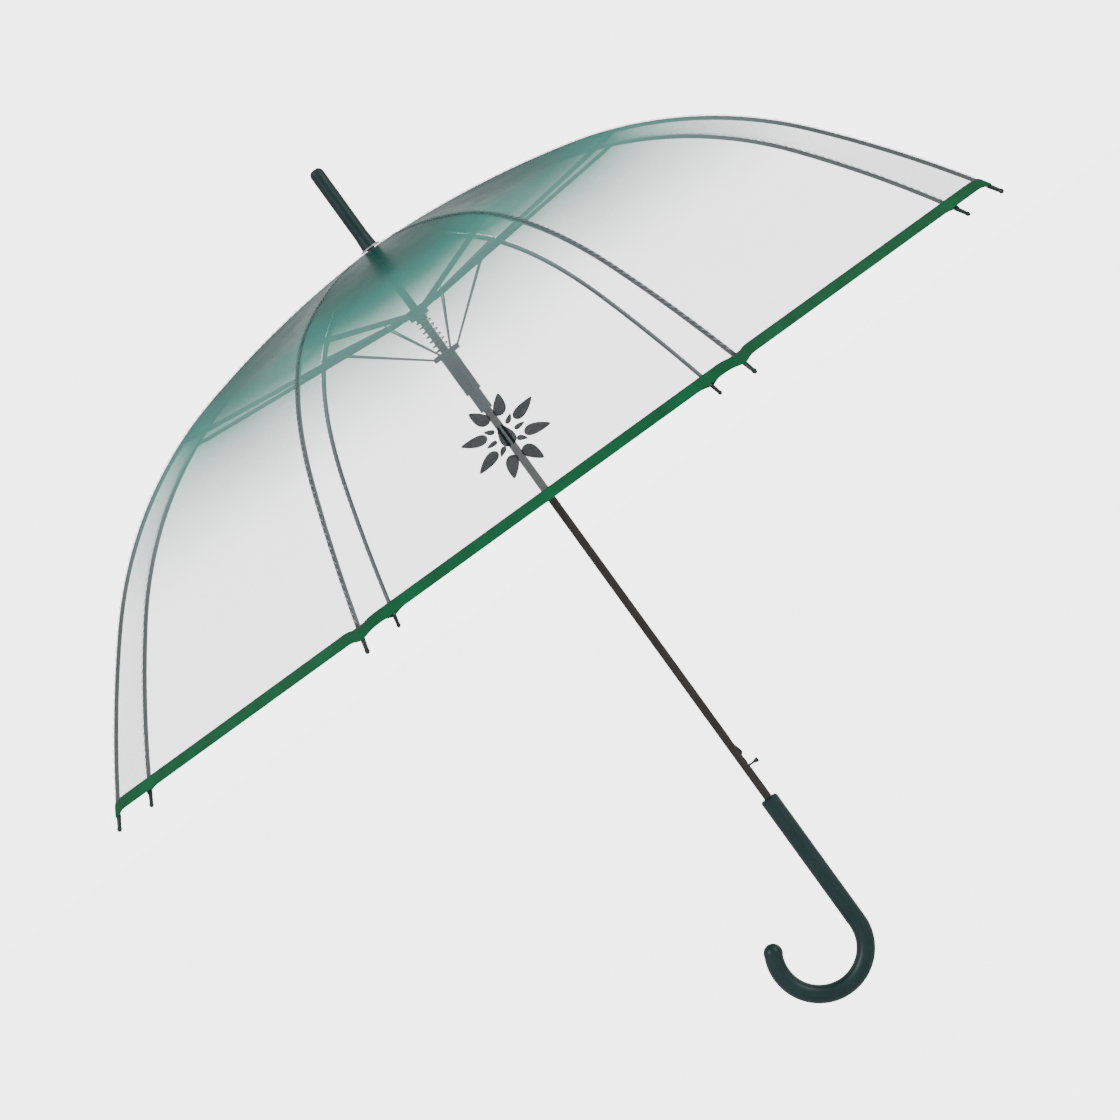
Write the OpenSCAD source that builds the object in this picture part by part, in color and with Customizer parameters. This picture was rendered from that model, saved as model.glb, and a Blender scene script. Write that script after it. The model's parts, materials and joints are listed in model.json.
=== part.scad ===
// Clear dome stick umbrella with eight ribs, drawn open and upright.
// Millimetres. +Z runs up the shaft to the ferrule, and the crook opens towards -X.
// The origin is the middle of the straight grip, on the shaft's axis.

/* [Canopy] */
// Height of the crown above the middle of the grip
crown_z = 656; // [640:1:700]
// Slope of a rib at the crown, degrees
slope_crown = 2.7; // [2:0.1:4]
// Radius where the shallow top bends into the shoulder
top_r = 206.8; // [204:0.1:210]
// Slope of a rib there, degrees
slope_top = 14.4; // [14:0.1:15]
// Radius where the shoulder bends into the skirt
shoulder_r = 391.3; // [388:0.1:394]
// Slope of a rib there, degrees
slope_shoulder = 48.3; // [47.5:0.1:49]
// Radius of the rim, measured at a rib
rim_r = 488.1; // [484:0.1:492]
// Slope of a rib at the rim, degrees
slope_rim = 56.5; // [55:0.1:58]
// Thickness of the film
film = 0.25; // [0.2:0.05:0.35]
// Width of the binding along the rim
binding_w = 10; // [8:0.5:12]

/* [Ribs] */
// Number of ribs
ribs = 8; // [8:1:8]
// Width of a rib
rib_w = 3.2; // [3:0.1:3.3]
// Height of a rib
rib_h = 3; // [2.9:0.1:3]
// Gap from the canopy's outer face down to the top of a rib
rib_drop = 1.3; // [1.2:0.05:1.4]
// Sheet thickness of the channels
sheet = 0.5; // [0.5:0.05:0.6]
// Slope of the rib above the stretcher's rivet, degrees
slope_joint = 20.9; // [20.5:0.1:21.5]
// Length of a tip cap beyond the rim
tip_len = 15; // [12:1:18]

/* [Mechanism] */
// Radius of the circles on which ribs and stretchers hinge
hinge_r = 8; // [7.9:0.1:8.1]
// Depth of the rib hinges below the crown
notch_depth = 22.4; // [21.5:0.1:23.5]
// Height of a stretcher channel
stretcher_h = 3.5; // [3.4:0.1:3.6]
// Width of a stretcher channel
stretcher_w = 4.6; // [4.6:0.1:4.8]
// Distance from a stretcher's inner hinge to its link rivet
link_reach = 71.6; // [70:0.1:73]
// Radius of the circle on which the links hook
link_r = 12; // [11.8:0.1:12.2]
// Distance from the hub hinges down to the runner ring
hub_to_runner = 43.7; // [43:0.1:44.5]
// Length of the wide part of the runner below its ring
runner_body = 41; // [38:1:42]
// Length of the whole runner below its ring
runner_len = 60.3; // [58:0.1:61]

/* [Shaft and handle] */
// Diameter of the shaft
shaft_d = 7.5; // [7.4:0.1:7.6]
// Bore of the shaft
shaft_bore = 5.9; // [5.8:0.1:6]
// Diameter of the handle
handle_d = 16.5; // [15:0.1:17]
// Length of the straight grip
grip_len = 132; // [120:1:136]
// Radius of the crook along its middle line
crook_r = 40.5; // [38:0.5:44]
// Turn of the crook, degrees
crook_turn = 209; // [190:1:215]
// Height of the ferrule above the crown
ferrule_h = 84; // [70:1:90]
// Diameter of the ferrule
ferrule_d = 13; // [12:0.5:14]
// Height of the push button above the middle of the grip
button_z = 98.8; // [97:0.2:101]

/* [Hidden] */
$fn = 64;
half = 180 / ribs;
slopes = [slope_crown, slope_top, slope_shoulder, slope_rim];
radii = [8.7, top_r, shoulder_r, rim_r];
bend = [for (k = [0:2]) (radii[k + 1] - radii[k]) / (sin(slopes[k + 1]) - sin(slopes[k]))];
drops = [for (k = [0:2]) bend[k] * (cos(slopes[k]) - cos(slopes[k + 1]))];
depths = [0.44, 0.44 + drops[0], 0.44 + drops[0] + drops[1], 0.44 + drops[0] + drops[1] + drops[2]];
binding_t = 0.5;
binding_gap = 0.12;
blade = rib_w - 2 * sheet;
inner_blade = 1.6;
ferrule_flare = 12;
joint = under(slope_joint, rib_drop + rib_h / 2);
notch_z = crown_z - notch_depth;
hub_z = 2 * joint[1] - notch_z;
arm = norm([joint[0] - hinge_r, joint[1] - hub_z]);
rise = atan((joint[1] - hub_z) / (joint[0] - hinge_r));
runner_z = hub_z - hub_to_runner;
link_drop = 0.8;
knee = [hinge_r + link_reach * cos(rise) + link_drop * sin(rise), hub_z + link_reach * sin(rise) - link_drop * cos(rise)];
slide_r = shaft_d / 2 + 0.15;
crook_z = -grip_len / 2;

// Which of the three arcs holds a slope
function part_of(a) = a < slopes[1] ? 0 : a < slopes[2] ? 1 : 2;
// Point [r, z] on the outer face of the canopy, on a rib, where the slope is a
function outer(a) = let (k = part_of(a))
    [radii[k] + bend[k] * (sin(a) - sin(slopes[k])), crown_z - depths[k] - bend[k] * (cos(slopes[k]) - cos(a))];
// The same point, moved inwards by g
function under(a, g) = outer(a) - g * [sin(a), cos(a)];
// Slopes sampled along the profile from slope a to slope b
function run(a, b) = concat([a], [for (t = [a + 1.3:1.3:b - 0.3]) t], [b]);
// Profile at the middle of a gore, which lies nearer the shaft than a rib does
function gore_line(a, g) = [for (t = run(a, slope_rim)) let (p = under(t, g)) [p[0] * cos(half), p[1]]];
function mirrored(line) = [for (k = [len(line) - 1:-1:0]) [-line[k][0], line[k][1]]];

function names(stem) = [for (i = [1:ribs]) str(stem, i)];

// Sweeps a section along the rib line from slope a to slope b
module sweep(a, b) {
    for (k = [0:2]) {
        lo = max(a, slopes[k]);
        hi = min(b, slopes[k + 1]);
        if (hi > lo)
            translate([radii[k] - bend[k] * sin(slopes[k]), 0, crown_z - depths[k] - bend[k] * cos(slopes[k])])
                rotate([90, 0, 0]) rotate([0, 0, 90 - hi])
                    rotate_extrude(angle = hi - lo, $fn = 128) translate([bend[k], 0]) children();
    }
}

// Crimped tie round a rib where two arcs of the rib line meet
module tie(k) {
    p = under(slopes[k], rib_drop + rib_h / 2);
    translate([p[0], 0, p[1]]) rotate([0, slopes[k], 0]) cube([2, rib_w + 0.2, rib_h + 0.2], center = true);
}

// Channel section open towards the shaft, with its flanges only where web is false
module channel_section(web = true) {
    difference() {
        translate([-rib_drop - rib_h, -rib_w / 2]) square([rib_h, rib_w]);
        translate([-rib_drop - rib_h - 1, -blade / 2]) square([rib_h + 1 - (web ? sheet : -2), blade]);
    }
}

// Round disc across a rib at point p, as wide as w
module disc(p, r, w) {
    translate([p[0], 0, p[1]]) rotate([90, 0, 0]) cylinder(r = r, h = w, center = true, $fn = 48);
}

module spokes() {
    for (i = [0:ribs - 1]) rotate([0, 0, half + i * 360 / ribs]) children();
}

module spoke(i) {
    rotate([0, 0, half + (i - 1) * 360 / ribs]) children();
}

module shaft() {
    color([0.24, 0.24, 0.23])
    difference() {
        translate([0, 0, crook_z + 8]) cylinder(d = shaft_d, h = crown_z + 40 - crook_z - 8);
        translate([0, 0, crook_z + 7]) cylinder(d = shaft_bore, h = crown_z + 42 - crook_z - 8);
        translate([0, -1.5, button_z + 8]) cube([6, 3, 21]);
        translate([0, -1.4, button_z - 2.4]) cube([6, 2.8, 4.8]);
    }
}

module handle() {
    color([0.12, 0.29, 0.29])
    difference() {
        union() {
            translate([0, 0, crook_z]) cylinder(d = handle_d, h = grip_len - 1.5);
            translate([0, 0, -crook_z - 1.5]) cylinder(d1 = handle_d, d2 = handle_d - 3, h = 1.5);
            translate([0, 0, crook_z]) sphere(d = handle_d - 2);
            translate([-crook_r, 0, crook_z]) rotate([90, 0, 0]) rotate([0, 0, -crook_turn])
                rotate_extrude(angle = crook_turn, $fn = 96) translate([crook_r, 0]) circle(d = handle_d);
            translate([-crook_r, 0, crook_z]) rotate([0, crook_turn, 0]) translate([crook_r, 0, 0])
                sphere(d = handle_d + 0.7);
        }
        translate([0, 0, crook_z + 8]) cylinder(d = shaft_d, h = grip_len);
    }
}

module ferrule() {
    color([0.12, 0.29, 0.29])
    difference() {
        union() {
            translate([0, 0, crown_z + 1.6]) cylinder(d1 = ferrule_d + 1.6, d2 = ferrule_d, h = ferrule_flare);
            translate([0, 0, crown_z + 1.6 + ferrule_flare]) cylinder(d = ferrule_d, h = ferrule_h - 5.6 - ferrule_flare);
            translate([0, 0, crown_z + ferrule_h - 4]) cylinder(r1 = ferrule_d / 2, r2 = 5.4, h = 2.4);
            translate([0, 0, crown_z + ferrule_h - 1.6]) cylinder(r1 = 5.4, r2 = 3.4, h = 1.6);
        }
        translate([0, 0, crown_z]) cylinder(d = shaft_d, h = 40);
    }
}

module crown_washer() {
    color([0.75, 0.8, 0.8])
    difference() {
        translate([0, 0, crown_z + 0.2]) cylinder(r = 9.5, h = 1.2);
        cylinder(d = shaft_d, h = crown_z + 5);
    }
}

module top_notch() {
    color([0, 0.3, 0.24])
    difference() {
        translate([0, 0, crown_z - 31]) cylinder(r = 9.5, h = 29.9);
        cylinder(d = shaft_d, h = crown_z + 5);
        spokes() translate([5.9, -1.35, notch_z - 2.2]) cube([6, 2.7, 40]);
        ring_cut(notch_z, hinge_r, 0.5);
    }
}

// A wire ring, or the groove that it lies in
module ring_cut(z, r, wire_r) {
    translate([0, 0, z]) rotate_extrude($fn = 96) translate([r, 0]) circle(r = wire_r, $fn = 24);
}

module notch_ring() {
    color([0.5, 0.55, 0.56]) ring_cut(notch_z, hinge_r, 0.45);
}

// Everything under a dome of flat-sided gores that lies g below the canopy's outer face,
// from slope a down to the rim and on to height z
module dome(a, g, z) {
    line = gore_line(a, g);
    last = line[len(line) - 1];
    foot = [[last[0], z], [-last[0], z]];
    intersection_for(i = [0:ribs / 2 - 1]) rotate([90, 0, i * 360 / ribs])
        linear_extrude(height = 1100, center = true) polygon(concat(line, foot, mirrored(line)));
}

module canopy() {
    rim_z = outer(slope_rim)[1];
    color([0.72, 0.86, 0.83, 0.5])
    difference() {
        dome(slope_crown, 0, rim_z);
        dome(slope_crown, film, rim_z - 5);
        translate([0, 0, crown_z - 20]) cylinder(r = 8.6, h = 40);
    }
}

module edge_binding() {
    rim_z = outer(slope_rim)[1];
    top = slope_rim - binding_w / bend[2] * 180 / PI;
    color([0, 0.44, 0.26])
    difference() {
        dome(top, -binding_t - binding_gap, rim_z);
        dome(top - 2, -binding_gap, rim_z - 5);
    }
}

module latch_lever() {
    color([0.2, 0.22, 0.23]) {
        rotate([90, 0, 0]) linear_extrude(height = 2, center = true)
            polygon([
                [1.2, button_z - 20],
                [2.2, button_z - 20],
                [2.2, button_z + 9.5],
                [5.5, button_z + 13],
                [5.5, button_z + 15],
                [2.2, button_z + 27],
                [1.2, button_z + 27]]);
        translate([1.4, 0, button_z]) rotate([0, 90, 0]) cylinder(r = 1, h = 9.4);
    }
}

module push_button() {
    color([0.14, 0.18, 0.21])
    difference() {
        translate([8.3, 0, button_z]) rotate([0, 90, 0]) cylinder(r1 = 1.5, r2 = 2.3, h = 3.7);
        translate([8, 0, button_z]) rotate([0, 90, 0]) cylinder(r = 1.02, h = 2.85);
    }
    color([0.14, 0.18, 0.21]) translate([12, 0, button_z]) rotate([0, 90, 0]) cylinder(r1 = 2.3, r2 = 1.7, h = 0.8);
}

// Rib from the notch to the stretcher's rivet, cranked down to its hinge inside the notch
module rib_inner() {
    color([0.2, 0.22, 0.24])
    difference() {
        union() {
            sweep(3.3, slope_joint - 1.2) channel_section();
            sweep(slope_joint - 1.3, slope_joint) channel_section(false);
            for (s = [-1, 1]) translate([0, s * (rib_w - sheet) / 2, 0]) disc(joint, rib_h / 2 + 0.15, sheet);
            rotate([90, 0, 0]) linear_extrude(height = blade + 0.2, center = true)
                polygon([
                    [hinge_r - 1.4, notch_z],
                    [hinge_r - 1.4, crown_z - 1.8],
                    [20, crown_z - 2.25],
                    [34, crown_z - 3.1],
                    [20, crown_z - 5.2],
                    [11.5, crown_z - 6.5],
                    [hinge_r + 1.5, crown_z - 9],
                    [hinge_r + 1.5, notch_z]]);
            disc([hinge_r, notch_z], 1.6, blade + 0.2);
            tie(1);
        }
        disc([hinge_r, notch_z], 0.62, 6);
        disc(joint, 0.8, 6);
    }
}

// Rib from the stretcher's rivet to its tip
module rib_outer() {
    reach = 0.35;
    color([0.2, 0.22, 0.24])
    difference() {
        union() {
            sweep(slope_joint + reach, slope_rim) channel_section();
            sweep(slope_joint, slope_joint + 0.9)
                translate([-rib_drop - rib_h, -inner_blade / 2]) square([rib_h, inner_blade]);
            disc(joint, rib_h / 2, inner_blade);
            sweep(slope_joint + reach, slope_joint + 0.9)
                translate([-rib_drop - rib_h, -blade / 2 - 0.1]) square([rib_h, blade + 0.2]);
            tip_place() translate([0, 0, -8]) cylinder(r = 1.1, h = 14);
            tie(2);
        }
        disc(joint, 0.8, 6);
    }
}

// The end of a rib, with +Z along it
module tip_place() {
    p = under(slope_rim, rib_drop + rib_h / 2);
    translate([p[0], 0, p[1]]) rotate([0, 90 + slope_rim, 0]) children();
}

module tip_cap() {
    color([0.05, 0.13, 0.11])
    tip_place()
    difference() {
        union() {
            translate([0, 0, 0.3]) cylinder(r1 = 2.1, r2 = 1.8, h = tip_len - 4.3);
            translate([0, 0, tip_len - 4]) cylinder(r1 = 1.8, r2 = 2.3, h = 2);
            translate([0, 0, tip_len - 2]) cylinder(r1 = 2.3, r2 = 1.3, h = 2);
        }
        translate([0, 0, -1]) cylinder(r = 1.12, h = 7.2);
    }
}

// A stretcher along X from its hub hinge at 0 to the rib's rivet
module stretcher() {
    w = stretcher_w;
    color([0.38, 0.45, 0.48])
    translate([hinge_r, 0, hub_z]) rotate([0, -rise, 0]) {
        difference() {
            union() {
                translate([14, -w / 2, 1.5 - stretcher_h]) cube([arm - 24, w, stretcher_h]);
                for (s = [-1, 1]) translate([14, s * (w / 2 - 0.25) - 0.25, -1.5]) cube([arm - 14, 0.5, 3]);
                translate([0, -inner_blade / 2, -1.5]) cube([16, inner_blade, 3]);
                rotate([90, 0, 0]) cylinder(r = 1.6, h = inner_blade, center = true, $fn = 48);
                for (s = [-1, 1]) translate([arm, s * (w / 2 - 0.25), 0]) rotate([90, 0, 0])
                    cylinder(r = 1.5, h = 0.5, center = true, $fn = 48);
            }
            translate([17, 0.5 - w / 2, -5]) cube([arm, w - 1, 6]);
            rotate([90, 0, 0]) cylinder(r = 0.62, h = 8, center = true, $fn = 32);
            translate([link_reach, 0, -link_drop]) rotate([90, 0, 0]) cylinder(r = 0.7, h = 8, center = true, $fn = 32);
            translate([arm, 0, 0]) rotate([90, 0, 0]) cylinder(r = 0.75, h = 8, center = true, $fn = 32);
        }
        translate([link_reach, 0, -link_drop]) rivet(0.65, w);
        translate([arm, 0, 0]) rivet(0.7, w);
    }
}

// A rivet across a channel of width w, a hair clear of it
module rivet(r, w) {
    rotate([90, 0, 0]) {
        cylinder(r = r, h = w + 0.4, center = true, $fn = 32);
        for (s = [-1, 1]) translate([0, 0, s * (w / 2 + 0.35)])
            cylinder(r = r + 0.55, h = 0.6, center = true, $fn = 32);
    }
}

// A wire link from the stretcher's rivet down to the runner ring, ending in an open hook
module link() {
    span = [knee[0] - link_r, knee[1] - runner_z];
    lean = atan2(span[0], span[1]);
    wire = 0.6;
    bow = 1.35;
    color([0.42, 0.47, 0.5]) {
        difference() {
            union() {
                disc(knee, 1.4, 1.6);
                translate([link_r, 0, runner_z]) rotate([0, lean, 0]) translate([0, 0, bow])
                    cylinder(r = 0.75, h = norm(span) - bow - 0.9, $fn = 32);
            }
            disc(knee, 0.7, 6);
        }
        translate([link_r, 0, runner_z]) rotate([90, 0, 0]) rotate([0, 0, -125])
            rotate_extrude(angle = 250, $fn = 64) translate([bow, 0]) circle(r = wire, $fn = 24);
    }
}

module hub() {
    color([0.33, 0.4, 0.44])
    difference() {
        union() {
            translate([0, 0, hub_z - 5]) cylinder(r = 9.4, h = 9.5);
            translate([0, 0, hub_z - 9]) cylinder(r = 5.3, h = 5);
        }
        translate([0, 0, hub_z - 20]) cylinder(r = slide_r, h = 40);
        spokes() translate([5.9, -1.15, hub_z - 2.3]) cube([6, 2.3, 20]);
        ring_cut(hub_z, hinge_r, 0.5);
    }
}

module hub_ring() {
    color([0.5, 0.55, 0.56]) ring_cut(hub_z, hinge_r, 0.45);
}

module coil_spring() {
    color([0.38, 0.45, 0.48])
    translate([0, 0, runner_z + 2.6]) linear_extrude(height = hub_to_runner - 8, twist = -360 * 7, slices = 140, $fn = 8)
        translate([6.5, 0]) circle(r = 0.55, $fn = 8);
}

module runner() {
    color([0.33, 0.42, 0.47])
    difference() {
        union() {
            translate([0, 0, runner_z - 2.2]) cylinder(r = 13.2, h = 4.4);
            translate([0, 0, runner_z - runner_body]) cylinder(r = 7.6, h = runner_body + 2.2);
            translate([0, 0, runner_z - runner_len]) cylinder(r = 6, h = runner_len);
        }
        translate([0, 0, runner_z - runner_len - 1]) cylinder(r = slide_r, h = runner_len + 10);
        spokes() translate([9.5, -1.7, runner_z - 10]) cube([6, 3.4, 20]);
        ring_cut(runner_z, link_r, 0.5);
        translate([0, -1.8, runner_z - runner_len - 1]) cube([10, 3.6, 48]);
    }
}

module runner_ring() {
    color([0.5, 0.55, 0.56]) ring_cut(runner_z, link_r, 0.45);
}

shaft();
handle();
ferrule();
crown_washer();
top_notch();
notch_ring();
canopy();
edge_binding();
latch_lever();
push_button();
hub();
hub_ring();
coil_spring();
runner();
runner_ring();
for (i = [1:ribs]) {
    spoke(i) rib_inner();
    spoke(i) rib_outer();
    spoke(i) tip_cap();
    spoke(i) stretcher();
    spoke(i) link();
}
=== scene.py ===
# Clear dome stick umbrella: film, binding, seams, print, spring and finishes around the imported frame
import json
import math

import bmesh
import bpy
from mathutils import Matrix, Vector


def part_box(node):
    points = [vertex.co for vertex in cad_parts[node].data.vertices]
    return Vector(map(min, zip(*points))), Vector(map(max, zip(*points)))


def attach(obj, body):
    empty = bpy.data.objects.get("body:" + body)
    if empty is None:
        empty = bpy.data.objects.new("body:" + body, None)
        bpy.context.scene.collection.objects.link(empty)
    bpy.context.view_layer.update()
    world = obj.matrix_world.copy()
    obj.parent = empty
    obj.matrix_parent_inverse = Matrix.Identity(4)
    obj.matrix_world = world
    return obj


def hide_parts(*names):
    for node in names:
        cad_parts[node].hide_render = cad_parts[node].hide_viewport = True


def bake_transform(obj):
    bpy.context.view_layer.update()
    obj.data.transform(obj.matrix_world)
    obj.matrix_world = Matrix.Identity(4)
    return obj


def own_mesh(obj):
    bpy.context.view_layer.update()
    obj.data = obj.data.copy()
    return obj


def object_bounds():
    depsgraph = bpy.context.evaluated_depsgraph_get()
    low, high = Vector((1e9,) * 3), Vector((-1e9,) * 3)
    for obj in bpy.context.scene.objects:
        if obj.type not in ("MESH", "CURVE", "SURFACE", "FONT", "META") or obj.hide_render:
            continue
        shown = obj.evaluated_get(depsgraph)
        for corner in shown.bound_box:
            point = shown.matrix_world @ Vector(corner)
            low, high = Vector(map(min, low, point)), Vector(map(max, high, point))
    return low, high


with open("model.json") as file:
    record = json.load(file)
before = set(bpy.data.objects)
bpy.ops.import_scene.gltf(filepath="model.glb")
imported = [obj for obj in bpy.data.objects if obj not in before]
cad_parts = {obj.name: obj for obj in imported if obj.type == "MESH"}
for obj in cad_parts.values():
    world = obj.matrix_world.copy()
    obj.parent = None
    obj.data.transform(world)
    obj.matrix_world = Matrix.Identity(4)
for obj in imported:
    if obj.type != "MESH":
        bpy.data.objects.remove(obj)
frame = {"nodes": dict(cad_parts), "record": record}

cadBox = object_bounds()
nodes = frame["nodes"]
behaviour = frame["record"]["behaviour"]
canopyLow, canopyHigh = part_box("canopy")
print("frame loaded:", len(nodes), "nodes")


ribLine = {
    "ribs": 8,
    "slopes": (2.7, 14.4, 48.3, 56.5),  # degrees, where the three arcs of the line start and end
    "radii": (0.0087, 0.2068, 0.3913, 0.4881),
    "rivetSlope": 20.9,  # at the stretcher's rivet
    "filmInset": 0.0006,  # from the outer face of the CAD canopy down to the film
    "sag": 0.006,  # how far the middle of a gore is drawn in
    "sagPower": 1.5,  # above 1, so that the sag dies away gently at the crown and at the rim
    "pleatKeep": 0.02,  # share of the depth across its pleat that a closed piece keeps
}
halfTurn = math.pi / ribLine["ribs"]
slopes = [math.radians(a) for a in ribLine["slopes"]]
radii = ribLine["radii"]
bends = [(radii[k + 1] - radii[k]) / (math.sin(slopes[k + 1]) - math.sin(slopes[k])) for k in range(3)]
starts = [0.0]
tops = [canopyHigh.z]
for k in range(3):
    starts.append(starts[k] + bends[k] * (slopes[k + 1] - slopes[k]))
    tops.append(tops[k] - bends[k] * (math.cos(slopes[k]) - math.cos(slopes[k + 1])))
ribLength = starts[3]


# Length along the rib line where the slope, in radians, is reached
def lengthAt(slope):
    k = max(i for i in range(3) if slope >= slopes[i] - 1e-9)
    return starts[k] + bends[k] * (slope - slopes[k])


# Radius, height and slope of the rib line at a length from the crown, moved inwards by inset
def onRib(length, inset):
    k = max(i for i in range(3) if i == 0 or length >= starts[i])
    past = max(0.0, length - ribLength)
    slope = slopes[k] + (length - past - starts[k]) / bends[k]
    radius = radii[k] + bends[k] * (math.sin(slope) - math.sin(slopes[k]))
    z = tops[k] - bends[k] * (math.cos(slopes[k]) - math.cos(slope))
    radius += past * math.cos(slope) - inset * math.sin(slope)
    z -= past * math.sin(slope) + inset * math.cos(slope)
    return radius, z, slope


def ribTurn(rib):
    return Matrix.Rotation(halfTurn * (2 * rib - 1), 4, "Z")


# Point of a half gore: across runs from 0 on the rib to 1 in the middle of the gore
def onGore(rib, side, length, across, inset):
    radius, z, slope = onRib(length, inset)
    out = radius * (1 - across * math.sin(halfTurn) ** 2)
    aside = radius * across * math.sin(halfTurn) * math.cos(halfTurn)
    share = min(1.0, max(0.0, length / ribLength))
    drawn = ribLine["sag"] * math.sin(across * math.pi / 2) * math.sin(math.pi * share) ** ribLine["sagPower"]
    out -= drawn * math.sin(slope) * math.cos(halfTurn)
    aside -= drawn * math.sin(slope) * math.sin(halfTurn)
    return ribTurn(rib) @ Vector((out, side * aside, z - drawn * math.cos(slope)))


foldJoint = next(j for j in behaviour["joints"] if j["name"] == "fold")
foldTurn = math.radians(max(foldJoint["range_deg"], key=abs))
flexRatio = next(c["ratio"] for c in behaviour["couplings"] if c["joint"] == "rib_flex_1")
rivetLength = lengthAt(math.radians(ribLine["rivetSlope"]))

# Each part of a half gore: its lengths on the rib, its lengths in the middle of the gore, the body
# it rides on, that body's whole turn, and the angle in degrees at which its pleat stands when the
# canopy is closed.
crownEnd = 0.012
rivetMiddle = rivetLength + 0.034  # the parts meet further out in the middle of a gore than on the rib
shoulderMiddle = starts[2] + 0.02
outerTurn = foldTurn * (1 + flexRatio)
gorePart = {
    "crown": {"rib": (0.0, crownEnd), "middle": (0.0, crownEnd), "rows": 4, "columns": 16},
    "inner": {"rib": (crownEnd, rivetLength), "middle": (crownEnd, rivetMiddle), "rows": 26, "columns": 14,
              "body": "inner_rib_", "turn": foldTurn, "pleat": 60},
    "shoulder": {"rib": (rivetLength, starts[2]), "middle": (rivetMiddle, shoulderMiddle), "rows": 24,
                 "columns": 14, "body": "outer_rib_", "turn": outerTurn, "pleat": 62},
    "skirt": {"rib": (starts[2], ribLength), "middle": (shoulderMiddle, ribLength), "rows": 18, "columns": 14,
              "body": "outer_rib_", "turn": outerTurn, "pleat": 62},
}


# Length from the crown at a share of the way down a part of a half gore
def partLength(part, across, share):
    ends = [part["rib"][k] + (part["middle"][k] - part["rib"][k]) * across for k in (0, 1)]
    return ends[0] + (ends[1] - ends[0]) * share


# Anchor and axis of the plane in which the pleat of a part of a half gore stands when the canopy is closed
def pleatPlane(part, rib, side):
    ends = [onRib(length, ribLine["filmInset"])[:2] for length in part["rib"]]
    turn = Matrix.Rotation(part["turn"], 3, "Y")
    along = turn @ Vector((ends[1][0] - ends[0][0], 0, ends[1][1] - ends[0][1]))
    stand = math.radians(part["pleat"])
    pleat = Vector((math.sin(stand), side * math.cos(stand), 0))
    axis = ribTurn(rib).to_3x3() @ (turn.inverted() @ along.cross(pleat))
    anchor = ribTurn(rib) @ Vector((ends[0][0], 0, ends[0][1]))
    return anchor, axis.normalized()


# Works out the plane of a piece's pleat, rides the piece on its rib and gives it a mesh of its own
def foldAway(piece, part, rib, side):
    anchor, axis = pleatPlane(part, rib, side)
    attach(piece, f"{part['body']}{rib}")
    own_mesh(piece)


# The socket of a name that is in use: Mix and Map Range nodes keep several under one name
def pick(sockets, name):
    if isinstance(name, int):
        return sockets[name]
    return next(socket for socket in sockets if socket.name == name and socket.enabled)


# Gives inputs plain values, or links them where the value is a (node, output) pair
def feed(node, inputs):
    for name, value in inputs.items():
        socket = pick(node.inputs, name)
        if isinstance(value, tuple) and isinstance(value[0], bpy.types.Node):
            node.id_data.links.new(pick(value[0].outputs, value[1]), socket)
        else:
            socket.default_value = value


def addNode(tree, kind, inputs=None, **settings):
    node = tree.nodes.new(kind)
    for name, value in settings.items():
        setattr(node, name, value)
    feed(node, inputs or {})
    return node


def newGroup(name, kind, inputs, outputs):
    tree = bpy.data.node_groups.new(name, kind)
    for label, socketType, value in inputs:
        socket = tree.interface.new_socket(label, in_out="INPUT", socket_type=socketType)
        if value is not None:
            socket.default_value = value
    for label, socketType in outputs:
        tree.interface.new_socket(label, in_out="OUTPUT", socket_type=socketType)
    return tree, tree.nodes.new("NodeGroupInput"), tree.nodes.new("NodeGroupOutput")


# Fine moulded or painted grain: a mask for colour and a height for bump
def makeGrainGroup():
    tree, source, sink = newGroup("surfaceGrain", "ShaderNodeTree", [
        ("Vector", "NodeSocketVector", None),
        ("Fine Scale", "NodeSocketFloat", 900.0),
        ("Broad Scale", "NodeSocketFloat", 40.0),
        ("Contrast", "NodeSocketFloat", 0.5),
    ], [("Mask", "NodeSocketFloat"), ("Height", "NodeSocketFloat")])
    fine = addNode(tree, "ShaderNodeTexNoise", {
        "Vector": (source, "Vector"), "Scale": (source, "Fine Scale"), "Detail": 3.0, "Roughness": 0.6})
    broad = addNode(tree, "ShaderNodeTexNoise", {
        "Vector": (source, "Vector"), "Scale": (source, "Broad Scale"), "Detail": 4.0, "Roughness": 0.55})
    mixed = addNode(tree, "ShaderNodeMix", {
        "Factor": (source, "Contrast"), "A": (broad, "Fac"), "B": (fine, "Fac")})
    feed(sink, {"Mask": (mixed, "Result"), "Height": (fine, "Fac")})
    return tree


# Rubbed edges: 1 where a sharp edge has lost its finish
def makeWearGroup():
    tree, source, sink = newGroup("edgeWear", "ShaderNodeTree", [
        ("Vector", "NodeSocketVector", None),
        ("Radius", "NodeSocketFloat", 0.0004),
        ("Patch Scale", "NodeSocketFloat", 260.0),
        ("Amount", "NodeSocketFloat", 0.5),
    ], [("Mask", "NodeSocketFloat")])
    rounded = addNode(tree, "ShaderNodeBevel", {"Radius": (source, "Radius")}, samples=4)
    surface = addNode(tree, "ShaderNodeNewGeometry")
    facing = addNode(tree, "ShaderNodeVectorMath", {0: (rounded, "Normal"), 1: (surface, "Normal")},
                     operation="DOT_PRODUCT")
    edge = addNode(tree, "ShaderNodeMapRange", {
        "Value": (facing, "Value"), "From Min": 0.998, "From Max": 0.9})
    patches = addNode(tree, "ShaderNodeTexNoise", {
        "Vector": (source, "Vector"), "Scale": (source, "Patch Scale"), "Detail": 3.0})
    chosen = addNode(tree, "ShaderNodeMapRange", {
        "Value": (patches, "Fac"), "From Min": 0.42, "From Max": 0.62})
    worn = addNode(tree, "ShaderNodeMath", {0: (edge, "Result"), 1: (chosen, "Result")}, operation="MULTIPLY")
    scaled = addNode(tree, "ShaderNodeMath", {0: (worn, "Value"), 1: (source, "Amount")},
                     operation="MULTIPLY", use_clamp=True)
    feed(sink, {"Mask": (scaled, "Value")})
    return tree


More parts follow.
